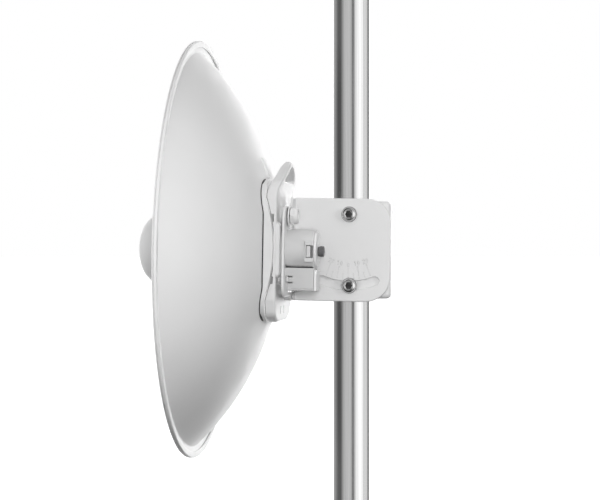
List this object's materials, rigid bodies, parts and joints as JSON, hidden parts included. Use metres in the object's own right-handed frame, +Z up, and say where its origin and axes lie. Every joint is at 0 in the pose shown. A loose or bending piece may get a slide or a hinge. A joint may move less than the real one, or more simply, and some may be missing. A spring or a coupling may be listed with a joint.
{
  "type": "wireless dish antenna",
  "caption": "Round dish antenna with feed dome, rear radio housing and carry loop, on a tilting side bracket clamped to a round mast.",
  "frame": {"origin": "centre of the mast's foot, on the flat lower face of its plug", "axes": "+Z up along the mast, the dish looks along -X, the side plate of the tilt bracket faces -Y"},
  "size_m": [0.2517, 0.417, 0.6043],
  "materials": {
    "mast_steel": "drawn steel tube with fine lines along its length",
    "dark_plastic": "matt moulded plastic",
    "white_paint": "satin powder coat",
    "dish_paint": "satin powder coat on pressed sheet",
    "zinc_steel": "zinc plated",
    "bright_steel": "bright stainless steel",
    "white_plastic": "finely textured moulding"
  },
  "bodies": {
    "mast": {"mast_tube": "mast_steel", "mast_top_cap": "dark_plastic", "mast_foot_plug": "dark_plastic"},
    "clamp": {"pole_bracket": "white_paint", "clamp_jaw": "white_paint", "clamp_bolt_1": "zinc_steel", "clamp_bolt_2": "zinc_steel", "clamp_bolt_3": "zinc_steel", "clamp_bolt_4": "zinc_steel", "clamp_nut_1": "zinc_steel", "clamp_nut_2": "zinc_steel", "clamp_nut_3": "zinc_steel", "clamp_nut_4": "zinc_steel", "pivot_bolt": "bright_steel", "pivot_washer": "bright_steel", "pivot_nut": "zinc_steel", "slot_bolt": "bright_steel", "slot_washer": "bright_steel", "slot_nut": "zinc_steel"},
    "antenna": {"tilt_bracket": "white_paint", "reflector": "dish_paint", "feed_collar": "white_plastic", "feed_tube": "white_plastic", "feed_cup": "white_plastic", "feed_dome": "white_plastic", "housing_base": "white_plastic", "rear_cover": "white_plastic", "fixing_washer": "white_paint", "fixing_nut": "white_paint", "fixing_screw_near": "white_paint", "fixing_screw_upper": "white_paint", "fixing_screw_lower": "white_paint", "rear_barrel": "white_plastic", "latch_tab": "white_plastic", "barrel_cap": "white_plastic", "release_knob": "dark_plastic", "cable_port": "white_plastic", "port_end": "white_plastic"}
  },
  "joints": [
    {"name": "azimuth_swivel", "type": "hinge", "parent": "mast", "child": "clamp", "pos_m": [0, 0, 0.3], "axis": [0, 0, 1], "continuous": true},
    {"name": "elevation_tilt", "type": "hinge", "parent": "clamp", "child": "antenna", "pos_m": [0.0015, -0.036, 0.336], "axis": [0, 1, 0], "range_deg": [-21, 19]}
  ]
}
